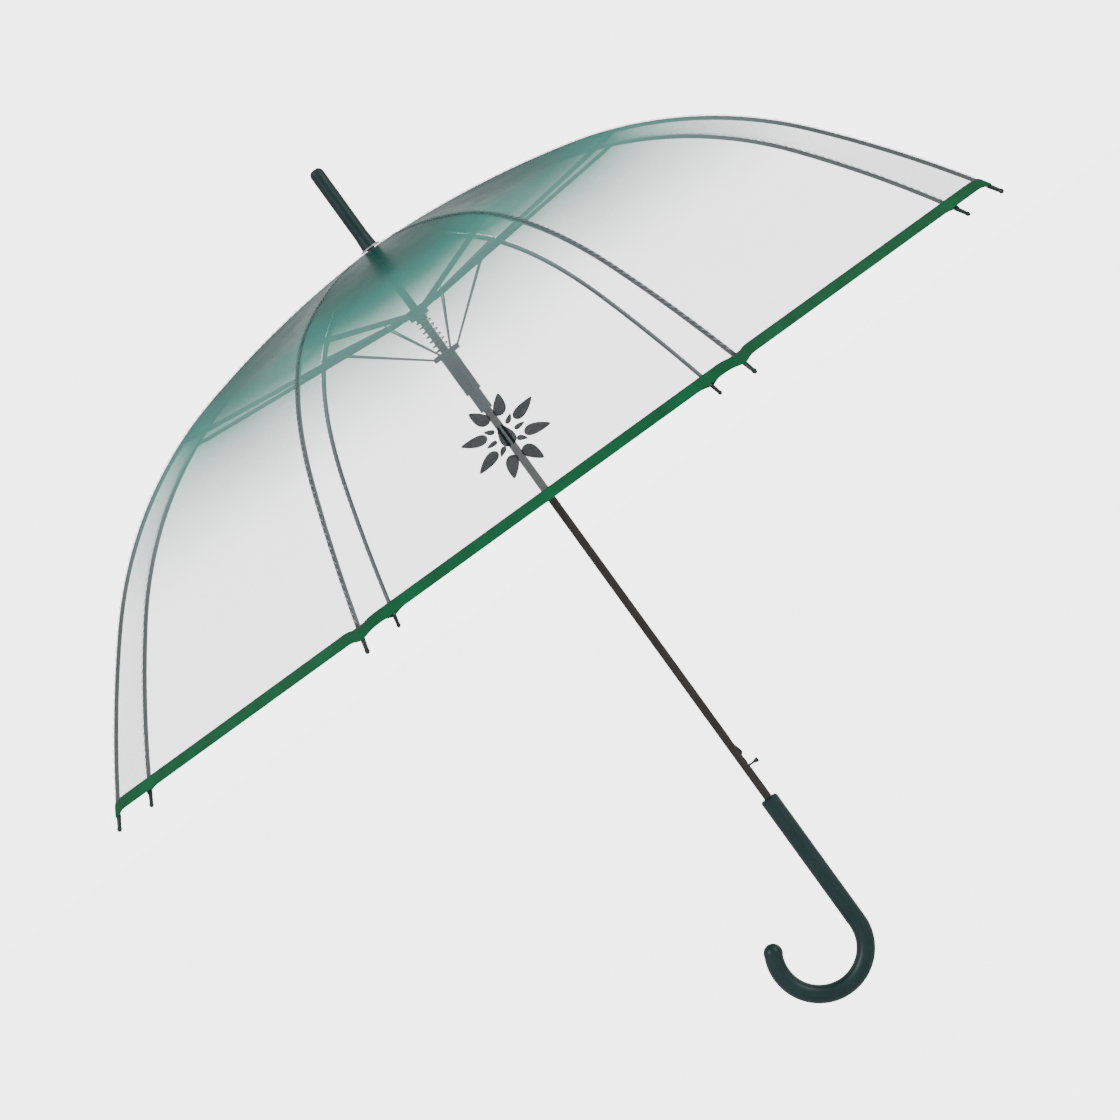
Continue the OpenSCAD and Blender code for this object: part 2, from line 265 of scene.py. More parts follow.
# Plain weave on a UV map in metres: crossing threads as a mask and a height
def makeWeaveGroup():
    tree, source, sink = newGroup("threadWeave", "ShaderNodeTree", [
        ("Vector", "NodeSocketVector", None),
        ("Threads per Metre", "NodeSocketFloat", 1400.0),
    ], [("Mask", "NodeSocketFloat"), ("Height", "NodeSocketFloat")])
    scaled = addNode(tree, "ShaderNodeVectorMath", {
        0: (source, "Vector"), "Scale": (source, "Threads per Metre")}, operation="SCALE")
    parts = addNode(tree, "ShaderNodeSeparateXYZ", {"Vector": (scaled, "Vector")})
    waves = []
    for axis, shift in (("X", 0.0), ("Y", math.pi / 2)):
        angle = addNode(tree, "ShaderNodeMath", {0: (parts, axis), 1: math.pi, 2: shift},
                        operation="MULTIPLY_ADD")
        waves.append(addNode(tree, "ShaderNodeMath", {0: (angle, "Value")}, operation="SINE"))
    crossed = addNode(tree, "ShaderNodeMath", {0: (waves[0], "Value"), 1: (waves[1], "Value")},
                      operation="MULTIPLY")
    height = addNode(tree, "ShaderNodeMath", {0: (crossed, "Value"), 1: 0.5, 2: 0.5},
                     operation="MULTIPLY_ADD")
    feed(sink, {"Mask": (height, "Value"), "Height": (height, "Value")})
    return tree


grainGroup = makeGrainGroup()
wearGroup = makeWearGroup()
weaveGroup = makeWeaveGroup()
grainRange = (0.3, 0.7)  # between these lies nearly all of the grain's mask


def addGrain(tree, vector, fine=900.0, broad=40.0, contrast=0.5):
    scales = {"Vector": vector, "Fine Scale": fine, "Broad Scale": broad, "Contrast": contrast}
    return addNode(tree, "ShaderNodeGroup", scales, node_tree=grainGroup)


# A value that runs from low to high with the grain's mask
def addSpread(tree, grain, low=0.0, high=1.0):
    return addNode(tree, "ShaderNodeMapRange", {
        "Value": (grain, "Mask"), "From Min": grainRange[0], "From Max": grainRange[1],
        "To Min": low, "To Max": high})


def addColourMix(tree, first, second, factor):
    return addNode(tree, "ShaderNodeMix", {"A": first, "B": second, "Factor": factor}, data_type="RGBA")


# A material with only a Principled BSDF and an output
def newMaterial(name):
    material = bpy.data.materials.new(name + "_finish")
    material.use_nodes = True
    tree = material.node_tree
    tree.nodes.clear()
    shader = tree.nodes.new("ShaderNodeBsdfPrincipled")
    output = tree.nodes.new("ShaderNodeOutputMaterial")
    feed(output, {"Surface": (shader, "BSDF")})
    return material, tree, shader


# What a finish has unless its own dictionary says otherwise
plainFinish = {
    "fineScale": 900.0, "broadScale": 45.0, "speckle": 0.35,  # the grain
    "bump": 0.00003, "bumpStrength": 0.6,
    "wear": 0.4, "wearRadius": 0.0003,
    "metal": 0.0, "specular": 0.35, "coat": 0.0, "coatRough": 0.2,
}


# Paint, plastic or metal from one dictionary: two colours mixed by grain, wear on edges, fine bump
def solidFinish(name, ownLook):
    look = {**plainFinish, **ownLook}
    material, tree, shader = newMaterial(name)
    place = addNode(tree, "ShaderNodeTexCoord")
    grain = addGrain(tree, (place, "Object"), look["fineScale"], look["broadScale"], look["speckle"])
    tone = addColourMix(tree, (*look["dark"], 1), (*look["light"], 1), (addSpread(tree, grain), "Result"))
    rubbing = {"Vector": (place, "Object"), "Radius": look["wearRadius"], "Amount": look["wear"]}
    wear = addNode(tree, "ShaderNodeGroup", rubbing, node_tree=wearGroup)
    if "inside" in look:  # the faces turned towards the shaft get a lighter colour
        away = addNode(tree, "ShaderNodeVectorMath", {
            0: (place, "Object"), 1: (0.0, 0.0, -look["insideHeight"])}, operation="ADD")
        facing = addNode(tree, "ShaderNodeVectorMath", {0: (place, "Normal"), 1: (away, "Vector")},
                         operation="DOT_PRODUCT")
        within = addNode(tree, "ShaderNodeMath", {0: (facing, "Value"), 1: -look["insideDepth"]},
                         operation="LESS_THAN")
        tone = addColourMix(tree, (tone, "Result"), (*look["inside"], 1), (within, "Value"))
    worn = addColourMix(tree, (tone, "Result"), (*look["bare"], 1), (wear, "Mask"))
    rough = addSpread(tree, grain, *look["rough"])
    bump = addNode(tree, "ShaderNodeBump", {
        "Height": (grain, "Height"), "Distance": look["bump"], "Strength": look["bumpStrength"]})
    feed(shader, {
        "Base Color": (worn, "Result"), "Roughness": (rough, "Result"), "Normal": (bump, "Normal"),
        "Metallic": look["metal"], "Specular IOR Level": look["specular"],
        "Coat Weight": look["coat"], "Coat Roughness": look["coatRough"]})
    return material


finishes = {
    "handle_plastic": {
        "dark": (0.003, 0.021, 0.021), "light": (0.005, 0.031, 0.031), "bare": (0.04, 0.13, 0.13),
        "rough": (0.34, 0.46), "wear": 0.25, "bump": 0.00002},
    "shaft_paint": {
        "dark": (0.026, 0.023, 0.021), "light": (0.045, 0.040, 0.037), "bare": (0.25, 0.24, 0.23),
        "rough": (0.28, 0.42), "metal": 0.35, "wear": 0.35},
    "notch_plastic": {
        "dark": (0.002, 0.045, 0.032), "light": (0.004, 0.062, 0.045), "bare": (0.02, 0.16, 0.12),
        "rough": (0.35, 0.5), "wear": 0.3},
    "runner_plastic": {
        "dark": (0.018, 0.040, 0.056), "light": (0.028, 0.055, 0.074), "bare": (0.2, 0.26, 0.3),
        "rough": (0.22, 0.36), "wear": 0.3, "coat": 0.25},
    "rib_steel": {
        "dark": (0.008, 0.010, 0.012), "light": (0.018, 0.021, 0.024), "bare": (0.24, 0.25, 0.26),
        "rough": (0.3, 0.48), "metal": 0.3, "wear": 0.5, "inside": (0.16, 0.19, 0.23),
        "insideHeight": 0.3,  # a face is inside where it is turned towards the shaft at this height
        "insideDepth": 0.1},  # and the shaft is at least this far in front of the face's plane
    "stretcher_steel": {
        "dark": (0.022, 0.038, 0.048), "light": (0.036, 0.054, 0.066), "bare": (0.3, 0.34, 0.36),
        "rough": (0.28, 0.44), "metal": 0.3, "wear": 0.5},
    "wire_steel": {
        "dark": (0.07, 0.085, 0.092), "light": (0.12, 0.135, 0.142), "bare": (0.5, 0.52, 0.53),
        "rough": (0.26, 0.4), "metal": 0.85, "wear": 0.4},
    "spring_steel": {
        "dark": (0.14, 0.17, 0.19), "light": (0.22, 0.26, 0.28), "bare": (0.5, 0.52, 0.53),
        "rough": (0.24, 0.36), "metal": 0.85, "wear": 0.2},
    "washer_metal": {
        "dark": (0.34, 0.40, 0.40), "light": (0.48, 0.54, 0.54), "bare": (0.75, 0.78, 0.78),
        "rough": (0.25, 0.4), "metal": 0.8, "wear": 0.5},
    "latch_steel": {
        "dark": (0.030, 0.033, 0.036), "light": (0.055, 0.060, 0.064), "bare": (0.3, 0.31, 0.32),
        "rough": (0.3, 0.45), "metal": 0.5, "wear": 0.5},
    "button_plastic": {
        "dark": (0.010, 0.017, 0.024), "light": (0.016, 0.026, 0.034), "bare": (0.08, 0.1, 0.12),
        "rough": (0.32, 0.45), "wear": 0.3},
    "tip_plastic": {
        "dark": (0.010, 0.018, 0.018), "light": (0.020, 0.032, 0.030), "bare": (0.08, 0.1, 0.1),
        "rough": (0.3, 0.42), "wear": 0.4},
    "stitch_thread": {
        "dark": (0.0, 0.045, 0.02), "light": (0.002, 0.09, 0.045), "bare": (0.02, 0.16, 0.09),
        "rough": (0.5, 0.7), "wear": 0.0, "fineScale": 2600.0, "bump": 0.00004},
}
materials = {name: solidFinish(name, look) for name, look in finishes.items()}

filmLook = {
    "end": 0.42,  # length from the crown where the last of the tint is gone
    "tint": (  # length, colour and cover of one layer
        (0.00, (0.002, 0.058, 0.045), 0.97),
        (0.15, (0.003, 0.068, 0.053), 0.96),
        (0.195, (0.008, 0.110, 0.088), 0.92),
        (0.237, (0.045, 0.235, 0.195), 0.78),
        (0.265, (0.11, 0.36, 0.30), 0.64),
        (0.30, (0.17, 0.42, 0.36), 0.53),
        (0.35, (0.27, 0.45, 0.41), 0.39),
        (0.42, (0.38, 0.42, 0.42), 0.21),
    ),
    "cloudScale": 9.0,
    "cloudShift": 0.05,  # length over which the clouds move the tint
    "seamWidth": (0.0024, 0.0034),  # from a rib's middle line: where the cover starts to grow, where it is whole
    "seamShare": 0.4,  # share of its cover that is left where it is pressed clear against a rib
    "edgeAlpha": 0.35,  # added where the film is seen edge on
    "edgePower": 4.0,
    "grain": (420.0, 24.0, 0.3),
    "rough": (0.16, 0.34),
    "puckerReach": (0.002, 0.03),  # from a rib's middle line to where the puckers are faintest
    "puckerFaintest": 0.12,
    "puckerScale": (60.0, 260.0, 1.0),
    "puckerDepth": 0.0006,
    "puckerStrength": 0.5,
    "specular": 0.05,
}


# Clear film, tinted round the crown, hazier when seen edge on, puckered beside the welds
def makeFilm():
    look = filmLook
    material, tree, shader = newMaterial("clear_film")
    uv = addNode(tree, "ShaderNodeUVMap", uv_map="UVMap")
    place = addNode(tree, "ShaderNodeSeparateXYZ", {"Vector": (uv, "UV")})
    clouds = addNode(tree, "ShaderNodeTexNoise", {
        "Vector": (uv, "UV"), "Scale": look["cloudScale"], "Detail": 3.0})
    shifted = addNode(tree, "ShaderNodeMath", {0: (clouds, "Fac"), 1: look["cloudShift"], 2: (place, "Y")},
                      operation="MULTIPLY_ADD")
    reach = addNode(tree, "ShaderNodeMapRange", {
        "Value": (shifted, "Value"), "From Min": look["cloudShift"] / 2,
        "From Max": look["end"] + look["cloudShift"] / 2})
    ramp = addNode(tree, "ShaderNodeValToRGB", {"Fac": (reach, "Result")})
    stops = ramp.color_ramp.elements  # these start as two, for the first and the last
    for length, colour, cover in look["tint"][1:-1]:
        stops.new(length / look["end"])
    for stop, (length, colour, cover) in zip(stops, look["tint"]):
        stop.position = length / look["end"]
        stop.color = (*colour, cover)
    grazing = addNode(tree, "ShaderNodeLayerWeight", {"Blend": 0.5})
    sharp = addNode(tree, "ShaderNodeMath", {0: (grazing, "Facing"), 1: look["edgePower"]}, operation="POWER")
    pressed = addNode(tree, "ShaderNodeMapRange", {
        "Value": (place, "X"), "From Min": look["seamWidth"][0], "From Max": look["seamWidth"][1],
        "To Min": look["seamShare"], "To Max": 1.0})
    cover = addNode(tree, "ShaderNodeMath", {0: (ramp, "Alpha"), 1: (pressed, "Result")},
                    operation="MULTIPLY")
    alpha = addNode(tree, "ShaderNodeMath", {0: (sharp, "Value"), 1: look["edgeAlpha"], 2: (cover, "Value")},
                    operation="MULTIPLY_ADD", use_clamp=True)
    rough = addSpread(tree, addGrain(tree, (uv, "UV"), *look["grain"]), *look["rough"])
    nearWeld = addNode(tree, "ShaderNodeMapRange", {
        "Value": (place, "X"), "From Min": look["puckerReach"][0], "From Max": look["puckerReach"][1],
        "To Min": 1.0, "To Max": look["puckerFaintest"]})
    stretched = addNode(tree, "ShaderNodeMapping", {"Vector": (uv, "UV"), "Scale": look["puckerScale"]})
    pucker = addNode(tree, "ShaderNodeTexNoise", {
        "Vector": (stretched, "Vector"), "Scale": 1.0, "Detail": 2.0})
    height = addNode(tree, "ShaderNodeMath", {0: (pucker, "Fac"), 1: (nearWeld, "Result")},
                     operation="MULTIPLY")
    bump = addNode(tree, "ShaderNodeBump", {
        "Height": (height, "Value"), "Distance": look["puckerDepth"], "Strength": look["puckerStrength"]})
    feed(shader, {
        "Base Color": (ramp, "Color"), "Alpha": (alpha, "Value"), "Roughness": (rough, "Result"),
        "Normal": (bump, "Normal"), "Specular IOR Level": look["specular"]})
    return material


seamTintDrop = (0.12, 0.03)  # below the top of the film: where the seams' tint starts and where it is whole
seamLooks = {
    "weld_film": {  # the film doubled, so a little hazier than the film
        "fine": 700.0, "broad": 40.0, "cover": (0.03, 0.09), "rough": 0.22,
        "clear": (0.50, 0.54, 0.56), "tinted": (0.04, 0.17, 0.14)},
    "crimp_film": {  # pale, part clear ridges pressed into the weld
        "fine": 900.0, "broad": 300.0, "cover": (0.35, 0.60), "rough": 0.25,
        "clear": (0.50, 0.56, 0.58), "tinted": (0.035, 0.15, 0.125)},
}


# The film of a seam: greyish and part clear, tinted near the crown
def makeSeamFilm(name, look):
    material, tree, shader = newMaterial(name)
    place = addNode(tree, "ShaderNodeTexCoord")
    grain = addGrain(tree, (place, "Object"), look["fine"], look["broad"])
    cover = addSpread(tree, grain, *look["cover"])
    parts = addNode(tree, "ShaderNodeSeparateXYZ", {"Vector": (place, "Object")})
    nearCrown = addNode(tree, "ShaderNodeMapRange", {
        "Value": (parts, "Z"), "From Min": canopyHigh.z - seamTintDrop[0],
        "From Max": canopyHigh.z - seamTintDrop[1]})
    tone = addColourMix(tree, (*look["clear"], 1), (*look["tinted"], 1), (nearCrown, "Result"))
    feed(shader, {"Base Color": (tone, "Result"), "Alpha": (cover, "Result"), "Roughness": look["rough"]})
    return material


tapeLook = {
    "dark": (0.0, 0.050, 0.016), "light": (0.0, 0.145, 0.050),
    "cloudScale": 30.0, "weaveShare": 0.4, "level": (0.3, 1.1),
    "bump": 0.00012, "bumpStrength": 0.7, "rough": 0.62, "specular": 0.2,
}


# Woven binding tape: two greens mixed by the weave and by broad clouds
def makeTape():
    look = tapeLook
    material, tree, shader = newMaterial("binding_tape")
    uv = addNode(tree, "ShaderNodeUVMap", uv_map="UVMap")
    weave = addNode(tree, "ShaderNodeGroup", {"Vector": (uv, "UV")}, node_tree=weaveGroup)
    clouds = addNode(tree, "ShaderNodeTexNoise", {
        "Vector": (uv, "UV"), "Scale": look["cloudScale"], "Detail": 3.0})
    mixed = addNode(tree, "ShaderNodeMath", {0: (weave, "Mask"), 1: look["weaveShare"], 2: (clouds, "Fac")},
                    operation="MULTIPLY_ADD")
    level = addNode(tree, "ShaderNodeMapRange", {
        "Value": (mixed, "Value"), "From Min": look["level"][0], "From Max": look["level"][1]})
    tone = addColourMix(tree, (*look["dark"], 1), (*look["light"], 1), (level, "Result"))
    bump = addNode(tree, "ShaderNodeBump", {
        "Height": (weave, "Height"), "Distance": look["bump"], "Strength": look["bumpStrength"]})
    feed(shader, {
        "Base Color": (tone, "Result"), "Normal": (bump, "Normal"), "Roughness": look["rough"],
        "Specular IOR Level": look["specular"]})
    return material


inkLook = {
    "dark": (0.002, 0.005, 0.006), "light": (0.006, 0.011, 0.012),
    "fine": 1500.0, "cover": (0.95, 1.0), "rough": 0.45, "specular": 0.1,
}


# Screen-printed ink: near black, slightly uneven
def makeInk():
    look = inkLook
    material, tree, shader = newMaterial("print_ink")
    place = addNode(tree, "ShaderNodeTexCoord")
    grain = addGrain(tree, (place, "Object"), look["fine"])
    tone = addColourMix(tree, (*look["dark"], 1), (*look["light"], 1), (grain, "Mask"))
    cover = addNode(tree, "ShaderNodeMapRange", {
        "Value": (grain, "Mask"), "To Min": look["cover"][0], "To Max": look["cover"][1]})
    feed(shader, {
        "Base Color": (tone, "Result"), "Alpha": (cover, "Result"), "Roughness": look["rough"],
        "Specular IOR Level": look["specular"]})
    return material


materials["clear_film"] = makeFilm()
materials.update({name: makeSeamFilm(name, look) for name, look in seamLooks.items()})
materials["binding_tape"] = makeTape()
materials["print_ink"] = makeInk()

for row in frame["record"]["subparts"]:
    for slot in nodes[row["node"]].material_slots:
        slot.link = "OBJECT"
        slot.material = materials[row["material_slot"]]
print("materials made:", len(materials))


def newPiece(name, mesh, material):
    piece = bpy.data.objects.new(name, mesh)
    bpy.context.scene.collection.objects.link(piece)
    mesh.materials.clear()
    mesh.materials.append(material)
    return piece


# A grid of faces through place(column share, row share), with UVs from uvAt of the same shares;
# closed joins the last row to the first and caps both ends
def gridMesh(name, rows, columns, place, flip, uvAt, closed=False):
    build = bmesh.new()
    layer = build.loops.layers.uv.new("UVMap")
    count = rows if closed else rows + 1
    points = [[build.verts.new(place(i / columns, j / rows)) for i in range(columns + 1)]
              for j in range(count)]
    for j in range(rows):
        for i in range(columns):
            spots = [(i, j), (i + 1, j), (i + 1, j + 1), (i, j + 1)]
            spots = spots[::-1] if flip else spots
            face = build.faces.new([points[b % count][a] for a, b in spots])
            face.smooth = True
            for loop, (a, b) in zip(face.loops, spots):
                loop[layer].uv = uvAt(a / columns, b / rows)
    if closed:
        build.faces.new([points[j][0] for j in range(count)][:: 1 if flip else -1])
        build.faces.new([points[j][columns] for j in range(count)][:: -1 if flip else 1])
    mesh = bpy.data.meshes.new(name)
    build.to_mesh(mesh)
    build.free()
    return mesh


ribNumbers = range(1, ribLine["ribs"] + 1)
sideNames = {1: "left", -1: "right"}
film = ribLine["filmInset"]


def halfWidth(length):
    return onRib(length, 0)[0] * math.sin(halfTurn)


# One part of a half gore; its UV map holds metres across and metres from the crown
def makeFilmPart(label, rib, side):
    part = gorePart[label]
    mesh = gridMesh(
        f"film_{label}_{rib}_{sideNames[side]}", part["rows"], part["columns"],
        lambda u, v: onGore(rib, side, partLength(part, u, v), u, film), side > 0,
        lambda u, v: (halfWidth(partLength(part, u, v)) * u, partLength(part, u, v)))
    return newPiece(mesh.name, mesh, materials["clear_film"])


# The sector of film over a rib's hinge
def makeCrown(rib):
    part = gorePart["crown"]

    def place(u, v):
        across = 2 * u - 1
        return onGore(rib, 1 if across >= 0 else -1, crownEnd * v, abs(across), film)

    mesh = gridMesh(f"film_crown_{rib}", part["rows"], part["columns"], place, True,
                    lambda u, v: (halfWidth(crownEnd * v) * abs(2 * u - 1), crownEnd * v))
    crown = newPiece(mesh.name, mesh, materials["clear_film"])
    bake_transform(crown)
    return crown


# Works out how wide a film piece is at its widest, doubled for the crown, and returns nothing
def declareFilm(label):
    part = gorePart[label]
    widest = halfWidth(max(part["rib"][1], part["middle"][1])) * (2 if label == "crown" else 1)


# Tape folded over the rim, dipping round each tip
binding = {
    "width": 0.0105,  # how far each half reaches up the film
    "thick": 0.0006,
    "swell": 1.15,  # thickness in the middle of each half, over that at its edges
    "lift": 0.0002,  # clear of the film
    "fold": 0.0006,  # how far the fold stands out past its line
    "pocket": 0.0012,  # from the line of the fold up to the bottom of the pocket for the film
    "short": 0.0006,  # from the line of the fold to the end of the ribs' line
    "dip": 0.0034,  # extra length beside a rib tip
    "dipReach": 0.0085,
    "columns": 40,
    "crowding": 1.6,  # above 1, so that the columns crowd towards the rib tip
    "girth": 0.024,  # round the section, for the UV map
    "sharp": math.radians(40),
}


# Section of the tape as lengths towards the rim and out of the film
def tapeSection():
    w, t, g = binding["width"], binding["thick"], binding["lift"]
    fold, pocket = binding["fold"], binding["pocket"]
    outer = [(-w, g), (-w, g + t), (-w * 0.5, g + t * binding["swell"]), (-fold, g + t),
             (fold, g * 0.5 + t * 0.4)]
    inner = [(y, -x) for y, x in outer[::-1]]
    return outer + inner[1:] + [(-pocket, -g), (-pocket, g)]


def rimLength(across):
    aside = across * halfWidth(ribLength)
    return ribLength - binding["short"] + binding["dip"] * math.exp(-((aside / binding["dipReach"]) ** 2))


def makeBinding(rib, side):
    section = tapeSection()

    def spread(u):
        return u ** binding["crowding"]

    def place(u, v):
        along, out = section[round(v * len(section)) % len(section)]
        return onGore(rib, side, rimLength(spread(u)) + along, spread(u), film - out)

    mesh = gridMesh(
        f"binding_{rib}_{sideNames[side]}", len(section), binding["columns"], place, side < 0,
        lambda u, v: (halfWidth(ribLength) * spread(u), v * binding["girth"]), closed=True)
    mesh.set_sharp_from_angle(angle=binding["sharp"])
    return newPiece(mesh.name, mesh, materials["binding_tape"])


# Flattened beads laid along a path at an even pitch: the crimps and the stitches
def makeBeadTree():
    tree, source, sink = newGroup("beadsAlongPath", "GeometryNodeTree", [
        ("Geometry", "NodeSocketGeometry", None),
        ("Pitch", "NodeSocketFloat", 0.002),
        ("Length", "NodeSocketFloat", 0.004),
        ("Width", "NodeSocketFloat", 0.001),
        ("Height", "NodeSocketFloat", 0.0005),
        ("Slant", "NodeSocketFloat", 0.6),
        ("Material", "NodeSocketMaterial", None),
    ], [("Geometry", "NodeSocketGeometry")])
    path = addNode(tree, "GeometryNodeMeshToCurve", {"Mesh": (source, "Geometry")})
    even = addNode(tree, "GeometryNodeResampleCurve", {
        "Curve": (path, "Curve"), "Length": (source, "Pitch")}, mode="LENGTH")
    outward = addNode(tree, "GeometryNodeInputNamedAttribute", {"Name": "outward"}, data_type="FLOAT_VECTOR")
    along = addNode(tree, "GeometryNodeInputTangent")
    raised = addNode(tree, "FunctionNodeAlignRotationToVector", {"Vector": (outward, "Attribute")}, axis="Z")
    aimed = addNode(tree, "FunctionNodeAlignRotationToVector", {
        "Rotation": (raised, "Rotation"), "Vector": (along, "Tangent")}, axis="X", pivot_axis="Z")
    slant = addNode(tree, "FunctionNodeAxisAngleToRotation", {"Axis": (0, 0, 1), "Angle": (source, "Slant")})
    turned = addNode(tree, "FunctionNodeRotateRotation", {
        "Rotation": (aimed, "Rotation"), "Rotate By": (slant, "Rotation")}, rotation_space="LOCAL")
    size = addNode(tree, "ShaderNodeCombineXYZ", {"X": (source, "Length"), "Y": (source, "Width"),
                                                  "Z": (source, "Height")})
    bead = addNode(tree, "GeometryNodeMeshUVSphere", {"Segments": 6, "Rings": 4, "Radius": 0.5})
    row = addNode(tree, "GeometryNodeInstanceOnPoints", {
        "Points": (even, "Curve"), "Instance": (bead, "Mesh"), "Rotation": (turned, "Rotation"),
        "Scale": (size, "Vector")})
    real = addNode(tree, "GeometryNodeRealizeInstances", {"Geometry": (row, "Instances")})
    painted = addNode(tree, "GeometryNodeSetMaterial", {"Geometry": (real, "Geometry"),
                                                        "Material": (source, "Material")})
    feed(sink, {"Geometry": (painted, "Geometry")})
    return tree


# Runs a Geometry Nodes tree on a mesh and keeps the result as a plain piece
def bakeTree(name, mesh, tree, values):
    maker = bpy.data.objects.new(name + "_maker", mesh)
    bpy.context.scene.collection.objects.link(maker)
    modifier = maker.modifiers.new("maker", "NODES")
    modifier.node_group = tree
    for item in tree.interface.items_tree:
        if item.item_type == "SOCKET" and item.in_out == "INPUT" and item.name in values:
            modifier[item.identifier] = values[item.name]
    bpy.context.view_layer.update()
    result = bpy.data.meshes.new_from_object(maker.evaluated_get(bpy.context.evaluated_depsgraph_get()))
    maker.modifiers.clear()
    bpy.data.objects.remove(maker)
    if "outward" in result.attributes:
        result.attributes.remove(result.attributes["outward"])
    result.name = name
    for face in result.polygons:
        face.use_smooth = True
    return newPiece(name, result, values["Material"])


def pathMesh(name, points, normals):
    mesh = bpy.data.meshes.new(name)
    mesh.from_pydata([tuple(p) for p in points], [(i, i + 1) for i in range(len(points) - 1)], [])
    layer = mesh.attributes.new("outward", "FLOAT_VECTOR", "POINT")
    for value, normal in zip(layer.data, normals):
        value.vector = normal
    return mesh


beadTree = makeBeadTree()
seam = {
    "top": 0.0135,  # length from the crown where the first weld starts
    "rivetGap": 0.0012,  # from the rivet to the welds on both sides of it
    "rimGap": 0.0115,  # from the ribs' length up to where the last weld ends
    "clear": 0.0045,  # room left for the rib to flex between two rows of crimps
    "width": 0.0058,
    "thick": 0.00035,
    "ridge": 1.5,  # thickness over the middle line, over that at the edges
    "flank": 1.3,
    "base": 0.0001,  # clear of the film
    "columns": 48,
    "girth": 0.012,  # round the section, for the UV map
    "crimp": {
        "Pitch": 0.0072, "Length": 0.0074, "Width": 0.0011, "Height": 0.0006, "Slant": math.radians(27)},
    "crimpSteps": 60,
}
stitching = {
    "bead": {"Pitch": 0.0034, "Length": 0.0024, "Width": 0.0006, "Height": 0.0005, "Slant": 0.0},
    "inset": 0.0016,  # from the upper edge of the tape
    "first": 0.004,  # share of the half gore's width left free at the rib and in the middle
    "steps": 80,
}


def outwardAt(rib, length):
    slope = onRib(length, 0)[2]
    return ribTurn(rib) @ Vector((math.sin(slope), 0, math.cos(slope)))


# The welded strip over a rib between two lengths, folded a little over it like the film
def makeWeldStrip(name, rib, first, last):
    half, thick, base = seam["width"] / 2, seam["thick"], seam["base"]
    ridge, flank = thick * seam["ridge"], thick * seam["flank"]
    section = [(-half, base), (-half, thick), (-half / 2, flank), (0, ridge), (half / 2, flank),
               (half, thick), (half, base), (0, base)]

    def place(u, v):
        aside, out = section[round(v * len(section)) % len(section)]
        length = first + (last - first) * u
        across = abs(aside) / (onRib(length, 0)[0] * math.sin(halfTurn) * math.cos(halfTurn))
        return onGore(rib, 1 if aside >= 0 else -1, length, across, film - out)

    mesh = gridMesh(name, len(section), seam["columns"], place, True,
                    lambda u, v: (v * seam["girth"], first + (last - first) * u), closed=True)
    return newPiece(name, mesh, materials["weld_film"])


def makeCrimps(name, rib, first, last):
    steps = seam["crimpSteps"]
    spots = [first + (last - first) * k / steps for k in range(steps + 1)]
    points = []
    for spot in spots:
        radius, z, slope = onRib(spot, film - seam["thick"] * seam["ridge"])
        points.append(ribTurn(rib) @ Vector((radius, 0, z)))
    path = pathMesh(name + "_path", points, [outwardAt(rib, spot) for spot in spots])
    return bakeTree(name, path, beadTree, {**seam["crimp"], "Material": materials["crimp_film"]})


def makeStitches(name, rib, side):
    steps, free = stitching["steps"], stitching["first"]
    points, normals = [], []
    for k in range(steps + 1):
        across = free + (1 - 2 * free) * k / steps
        length = rimLength(across) - binding["width"] + stitching["inset"]
        point = onGore(rib, side, length, across, film - binding["lift"] - binding["thick"])
        points.append(point)
        normals.append((point - onGore(rib, side, length, across, film)).normalized())
    path = pathMesh(name + "_path", points, normals)
    return bakeTree(name, path, beadTree, {**stitching["bead"], "Material": materials["stitch_thread"]})


# The print: an open rosette of drops round a split centre drop, half of it on each half gore
rosette = {
    "centre": 0.5005,  # length from the crown
    "ring": (0.026, 0.033),  # aside and along
    "drops": 4,  # on each half
    "drop": (0.0078, 0.0115),  # half width and half length of an outer drop
    "seeds": 3,
    "seed": (0.0036, 0.0050),
    "seedRing": 0.52,
    "heart": (0.0078, 0.0120),
    "heartGap": 0.0011,  # half the gap that splits the centre drop
    "blunt": 0.35,  # share of its width that a drop keeps near its point
    "steps": (28, 14, 40),  # round a drop, a seed and the heart
    "lift": 0.00022,
}


# Outline of a drop with its point at +1 along, before it is turned
def dropOutline(halfWide, halfLong, steps):
    outline = []
    for k in range(steps):
        turn = 2 * math.pi * k / steps
        taper = rosette["blunt"] + (1 - rosette["blunt"]) * (1 - math.cos(turn)) / 2
        outline.append((halfWide * math.sin(turn) * taper, halfLong * math.cos(turn)))
    return outline


